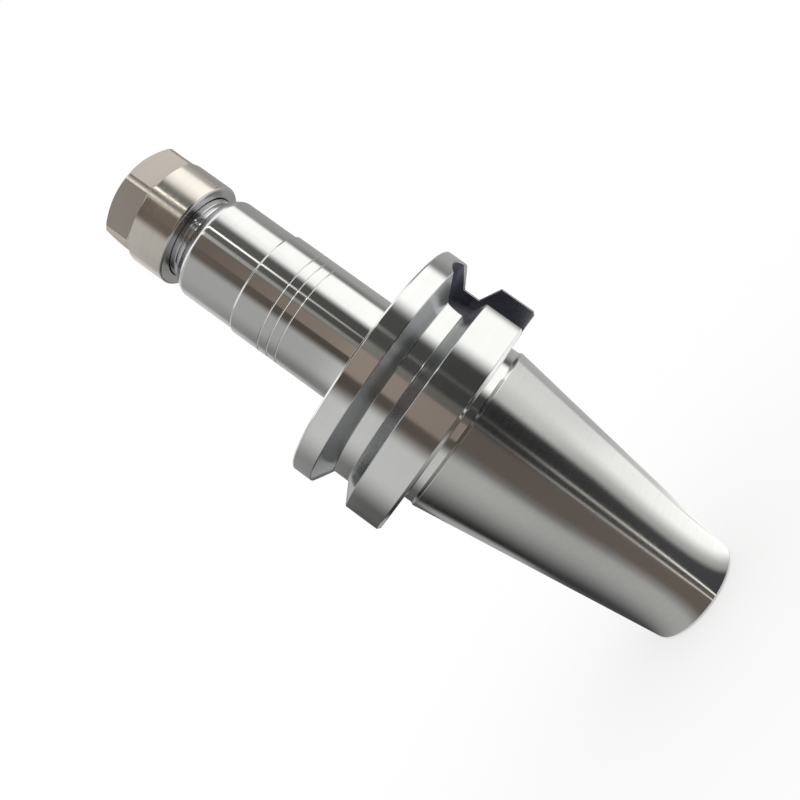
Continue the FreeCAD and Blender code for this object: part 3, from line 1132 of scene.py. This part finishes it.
# %% A worked steel material
DARKER = 0.9
BAND_TONE = 0.15
SMUDGE_TONE = 0.3
SCRATCH_GLOSS = 0.1
SCRATCH_HEIGHT = 4
QUARTER_TURN = 0.25


def worked_steel(
    name, colour, roughness, pitch, depth,
    dull=0.02, scratch=0.0, anisotropy=0.6, arc_centre=None, bare=1.0,
):
    """Steel with tool lines of a pitch and depth in mm, and a dulling from hands.

    The bare part is what shows clean metal; the rest is under a film of oil and dust.
    """
    paint = bpy.data.materials.new(name)
    paint.use_nodes = True
    tree = paint.node_tree
    shader = tree.nodes["Principled BSDF"]
    place = tree.nodes.new("ShaderNodeTexCoord").outputs["Object"]
    if arc_centre is None:
        across = ring_distance(tree, place)
    else:
        across = arc_distance(tree, place, arc_centre)
    lines = use_group(tree, TOOL_LINES, Place=place, Across=across, Pitch=pitch * MM)
    patches = use_group(tree, SMUDGES, Place=place)["Patches"]
    ground = use_group(tree, GRINDING, Place=place)
    darker = (*(part * DARKER for part in colour), 1)
    tone = calc(tree, "MULTIPLY", patches, SMUDGE_TONE)
    tone = calc(tree, "MULTIPLY_ADD", lines["Bands"], BAND_TONE, tone)
    tone = calc(tree, "MULTIPLY_ADD", ground["Speckle"], scratch, tone)
    wire(tree, laid_over(tree, (*colour, 1), darker, tone), shader.inputs["Base Color"])
    rough = calc(tree, "MULTIPLY_ADD", lines["Bands"], dull, roughness)
    rough = calc(tree, "MULTIPLY_ADD", patches, dull, rough)
    rough = calc(tree, "MULTIPLY_ADD", ground["Scratches"], scratch * SCRATCH_GLOSS, rough)
    wire(tree, rough, shader.inputs["Roughness"])
    scored = scratch * SCRATCH_HEIGHT
    height = calc(tree, "MULTIPLY_ADD", ground["Scratches"], scored, lines["Lines"])
    bump = node(tree, "ShaderNodeBump", Strength=1.0, Distance=depth * MM, Height=height)
    wire(tree, bump.outputs["Normal"], shader.inputs["Normal"])
    tangent = node(tree, "ShaderNodeTangent", direction_type="RADIAL", axis="Z")
    wire(tree, tangent.outputs["Tangent"], shader.inputs["Tangent"])
    shader.inputs["Metallic"].default_value = bare
    shader.inputs["Anisotropic"].default_value = anisotropy
    shader.inputs["Anisotropic Rotation"].default_value = QUARTER_TURN
    return paint


# %% [markdown]
# ## The finishes of this holder
#
# The taper is ground, so it is even and a little speckled. The flange and the body are
# fine turned after hardening and nearly polished. The flanks of the groove are duller,
# because the gripper rubs there and oil and dust stay in the groove. The drive slots and
# the bore are only milled and bored before hardening, and the heat leaves them almost
# black. The floor and the round end of a slot are darker still: that part is painted
# shade for the deep corners of the slot. The nut has a satin nickel coat with a warm tint,
# over turned steel on its collar and milled steel on its flats. All of it stands in one
# table, so that the finishes can be compared line by line.

# %% Mix the finishes
STEEL = (0.688, 0.693, 0.67)
NICKEL = (0.70, 0.655, 0.59)
SLOT_ARCS = {"arc_centre": -8}
FLAT_ARCS = {"arc_centre": 130, "anisotropy": 0.0}
SAW_ARCS = {"arc_centre": 120, "anisotropy": 0.0}
FINISH_TABLE = [
    # name, colour, roughness, line pitch and line depth in mm, what else differs
    ("ground_taper", (0.672, 0.672, 0.645), 0.13, 0.09, 0.0001, {"scratch": 0.25}),
    ("turned_flange", STEEL, 0.08, 0.12, 0.0002, {}),
    ("polished_body", STEEL, 0.06, 0.08, 0.0001, {}),
    ("turned_nose", (0.68, 0.68, 0.69), 0.10, 0.10, 0.0001, {}),
    ("hardened_slot", (0.38, 0.39, 0.43), 0.22, 0.35, 0.0004, {"anisotropy": 0.2, **SLOT_ARCS}),
    # floor and round end of a slot: dark oxide, made darker still as painted shade
    ("scaled_slot", (0.15, 0.155, 0.19), 0.36, 0.35, 0.0008, {"anisotropy": 0.1, **SLOT_ARCS}),
    ("slot_rim", (0.42, 0.43, 0.44), 0.20, 0.15, 0.0004, {"anisotropy": 0.1}),
    ("groove_flank", (0.45, 0.46, 0.465), 0.17, 0.15, 0.00008, {"bare": 0.92}),
    ("bored_hole", (0.40, 0.39, 0.38), 0.32, 0.20, 0.0010, {"anisotropy": 0.3}),
    ("nickel_collar", NICKEL, 0.15, 0.10, 0.00015, {"dull": 0.04}),
    # painted shade: the nut's rear face is the same nickel, made darker and greyer
    ("nickel_rear", (0.54, 0.53, 0.52), 0.20, 0.15, 0.0003, {}),
    ("nickel_flat", (0.46, 0.415, 0.37), 0.42, 0.30, 0.0003, FLAT_ARCS),
    ("ground_collet", (0.58, 0.58, 0.58), 0.18, 0.10, 0.0003, {"scratch": 0.15}),
    ("sawn_slot", (0.20, 0.20, 0.21), 0.38, 0.15, 0.0010, SAW_ARCS),
]
FINISHES = {row[0]: worked_steel(*row[:-1], **row[-1]) for row in FINISH_TABLE}
print("finishes:", ", ".join(FINISHES))

# %% [markdown]
# ## Put each finish where it belongs
#
# The holder is one piece of steel, so its zones are told apart by place: by height and
# radius on the outside, and by the shape of the cutters inside the slots. A face belongs
# to a cutter only when every corner of it does, which keeps the bright rims of the slots
# out. Walls that a cutter made flat are shaded flat.

# %% Zones of the pieces
FACE_TOLERANCE = 0.02
PLANE = 0.999
UPRIGHT = 0.001
DRILL_CONE_RADIUS = 21
DRILL_CONE_LOW = -60
SMALL_FACE = -64
INNER_RADIUS = 10.2
ZONE_EDGE = 0.3


def all_corners(piece, face, inside):
    """True where every corner of a face passes a test, in mm."""
    return all(inside(piece.data.vertices[i].co / MM) for i in face.vertices)


def slot_reach(co):
    """How far a place is from the middle line of a slot, or from the centre of its end."""
    return math.hypot(co.y, max(0, co.z - SLOT_CENTRE))


def in_slot(co):
    deep = abs(co.x) > SLOT_FLOOR - FACE_TOLERANCE
    return deep and slot_reach(co) < SLOT_HALF_WIDTH + FACE_TOLERANCE


def on_rim(co):
    reach = SLOT_HALF_WIDTH + SLOT_EDGE + FACE_TOLERANCE
    return abs(co.x) > SLOT_FLOOR - 1 and slot_reach(co) < reach


def groove_part(centre, radius, steep):
    """True for the two sloping flanks of the gripper groove."""
    inside = abs(centre.z - GROOVE_MIDDLE) < GROOVE_HALF_WIDTH
    return inside and steep > 0.5 and radius > FLANGE_RADIUS - GROOVE_DEPTH


def holder_zone(face):
    centre = face.center / MM
    radius = math.hypot(centre.x, centre.y)
    rise = face.normal.z
    outward = face.normal.x * centre.x + face.normal.y * centre.y > 0
    # the cones at the ends of the drilled holes are as bright as the taper
    if radius < DRILL_CONE_RADIUS and rise < -0.5 and centre.z > DRILL_CONE_LOW:
        outward = True
    # the slot's floor and round end get the dark oxide with painted shade on top
    if all_corners(holder, face, in_slot):
        return "hardened_slot" if abs(face.normal.y) > PLANE else "scaled_slot"
    if centre.z > FLANGE_REAR and all_corners(holder, face, on_rim):
        return "slot_rim"
    if groove_part(centre, radius, abs(rise)):
        return "groove_flank"
    if centre.z < SMALL_FACE and rise < -0.9:
        return "bored_hole"
    if not outward and radius < INNER_RADIUS and abs(rise) < 0.9:
        return "bored_hole"
    if centre.z < -ZONE_EDGE:
        return "ground_taper" if outward else "bored_hole"
    if centre.z < FLANGE_FRONT + ZONE_EDGE and radius > BODY_RADIUS + 0.5:
        return "turned_flange"
    if centre.z < SHOULDER - CHAMFER_LENGTH and radius > NOSE_RADIUS + 1:
        return "polished_body"
    return "turned_nose"


def nut_zone(face):
    centre = face.center / MM
    steep = abs(face.normal.z)
    reach = face.normal.x * centre.x + face.normal.y * centre.y
    on_flat = steep < UPRIGHT and abs(reach - FLAT_RADIUS) < 0.01
    low = FLAT_END - 0.01 < centre.z < FLAT_END + FLAT_COVE
    inside = math.hypot(centre.x, centre.y) < NUT_RADIUS - 0.04
    in_cove = low and inside and UPRIGHT < steep < 0.95 and reach > NUT_RADIUS / 2
    # the downward rear face takes the darker copy of the nickel, which is painted shade
    if face.normal.z < -0.7 and centre.z < NUT_REAR + 1:
        return "nickel_rear"
    return "nickel_flat" if on_flat or in_cove else "nickel_collar"


def collet_zone(face):
    centre = face.center / MM
    tall = abs(face.normal.z) < 0.01
    outward = face.normal.x * centre.x + face.normal.y * centre.y
    radius = math.hypot(centre.x, centre.y)
    return "sawn_slot" if tall and abs(outward) < radius * 0.3 else "ground_collet"


# %% Dress the pieces
def lies_flat(face, zone):
    """True for the walls, floors and wrench flats that a cutter made plane."""
    if zone == "scaled_slot":
        return abs(face.normal.x) > PLANE
    if zone == "nickel_flat":
        return abs(face.normal.z) < UPRIGHT
    return zone in ("hardened_slot", "sawn_slot")


def even_normals(piece):
    """Let the long faces rule the shading, so that only the small roundings look round."""
    work_on(piece)
    weigh = piece.modifiers.new("even_normals", "WEIGHTED_NORMAL")
    weigh.mode = "FACE_AREA"
    weigh.weight = 50
    weigh.keep_sharp = True
    bpy.ops.object.modifier_apply(modifier="even_normals")


def dress(piece, zone_of):
    """Give every face the finish of its zone."""
    smooth_off(piece)
    order = []
    for face in piece.data.polygons:
        zone = zone_of(face)
        if zone not in order:
            order.append(zone)
            piece.data.materials.append(FINISHES[zone])
        face.material_index = order.index(zone)
        if lies_flat(face, zone):
            face.use_smooth = False
    even_normals(piece)
    print(piece.name, "zones:", order)


dress(holder, holder_zone)
dress(nut, nut_zone)
dress(collet, collet_zone)

# %% [markdown]
# ## Hand the pieces to the frame
#
# Each piece rides on its own body, so the collet slides in the nose and the nut turns over
# both. Each one also takes the place of its CAD node, which is hidden.

# %% Ride, replace and finish
for piece, body, node_name, slot_name in (
    (holder, "holder", "holder_body", "ground_steel"),
    (nut, "nut", "clamping_nut", "nut_nickel"),
    (collet, "collet", "spring_collet", "collet_steel"),
):
    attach(piece, body)
    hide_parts(node_name)
